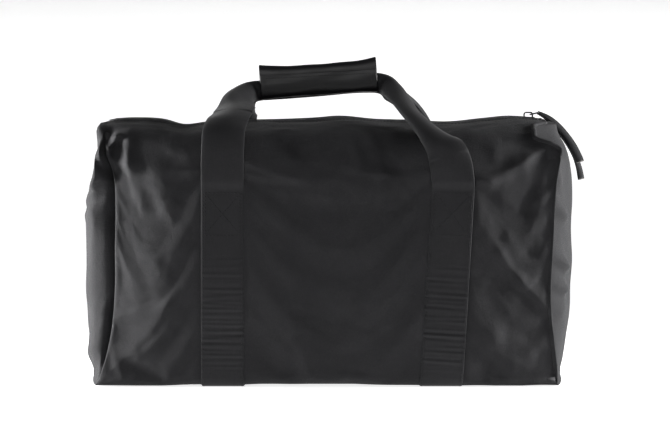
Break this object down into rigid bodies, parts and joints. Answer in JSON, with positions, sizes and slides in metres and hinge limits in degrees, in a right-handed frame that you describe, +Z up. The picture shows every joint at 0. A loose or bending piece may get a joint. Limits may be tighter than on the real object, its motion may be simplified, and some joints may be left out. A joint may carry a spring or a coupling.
{
  "type": "rope storage bag",
  "caption": "Soft zipped holdall for climbing and rigging rope, with webbing bands, two fold-down webbing handles joined by a wrap grip, an opening top and a sliding zip.",
  "frame": {"origin": "centre of the base, on the surface that the bag stands on", "axes": "+X along the bag's length towards the parked zip slider, -Y out of the front, +Z up"},
  "size_m": [0.6235, 0.2856, 0.3955],
  "materials": {
    "nylon_cloth": "matt woven nylon, slight sheen",
    "binding_cloth": "matt",
    "webbing": "matt ribbed webbing",
    "zip_cloth": "matt",
    "zip_coil": "satin",
    "zip_metal": "black, satin",
    "ribbon": "matt",
    "grip_leather": "smooth, slightly glossy",
    "hook_and_loop": "matt"
  },
  "bodies": {
    "bag": {"front_panel": "nylon_cloth", "back_panel": "nylon_cloth", "base_panel": "nylon_cloth", "left_end_panel": "nylon_cloth", "right_end_panel": "nylon_cloth", "left_seam_binding": "binding_cloth", "right_seam_binding": "binding_cloth", "left_webbing_band": "webbing", "right_webbing_band": "webbing", "left_zip_end": "zip_cloth", "right_zip_end": "zip_cloth", "left_zip_stop": "zip_metal", "right_zip_stop": "zip_metal"},
    "front_mouth": {"front_mouth_flap": "nylon_cloth", "front_zip_tape": "zip_cloth", "front_zip_coil": "zip_coil"},
    "back_mouth": {"back_mouth_flap": "nylon_cloth", "back_zip_tape": "zip_cloth", "back_zip_coil": "zip_coil"},
    "zip_slider": {"zip_slider": "zip_metal"},
    "zip_pull": {"zip_pull_ring": "zip_metal", "ribbon_pull": "ribbon"},
    "front_handle": {"front_handle": "webbing"},
    "back_handle": {"back_handle": "webbing", "grip_wrap": "grip_leather", "grip_loop_patch": "hook_and_loop"},
    "grip_flap": {"grip_flap": "grip_leather", "grip_hook_patch": "hook_and_loop"}
  },
  "joints": [
    {"name": "zip_slide", "type": "slide", "parent": "bag", "child": "zip_slider", "axis": [-1, 0, 0], "range_m": [0, 0.498], "deforming": ["ribbon_pull"]},
    {"name": "pull_swing", "type": "hinge", "parent": "zip_slider", "child": "zip_pull", "pos_m": [0.2515, 0, 0.328], "axis": [0, -1, 0], "range_deg": [0, 120]},
    {"name": "front_mouth_open", "type": "hinge", "parent": "bag", "child": "front_mouth", "pos_m": [0, -0.1345, 0.2762], "axis": [-1, 0, 0], "range_deg": [0, 60]},
    {"name": "back_mouth_open", "type": "hinge", "parent": "bag", "child": "back_mouth", "pos_m": [0, 0.1345, 0.2762], "axis": [1, 0, 0], "range_deg": [0, 60]},
    {"name": "front_handle_fold", "type": "hinge", "parent": "bag", "child": "front_handle", "pos_m": [0, -0.1445, 0.23415], "axis": [1, 0, 0], "range_deg": [0, 170], "deforming": ["grip_wrap", "grip_loop_patch", "grip_flap", "grip_hook_patch"]},
    {"name": "back_handle_fold", "type": "hinge", "parent": "bag", "child": "back_handle", "pos_m": [0, 0.1445, 0.23415], "axis": [-1, 0, 0], "range_deg": [0, 170], "deforming": ["grip_wrap", "grip_loop_patch", "grip_flap", "grip_hook_patch"]},
    {"name": "grip_flap_open", "type": "hinge", "parent": "back_handle", "child": "grip_flap", "pos_m": [-0.01161, -0.0152, 0.34955], "axis": [0.9976, 0, 0.0698], "range_deg": [0, 120]}
  ]
}
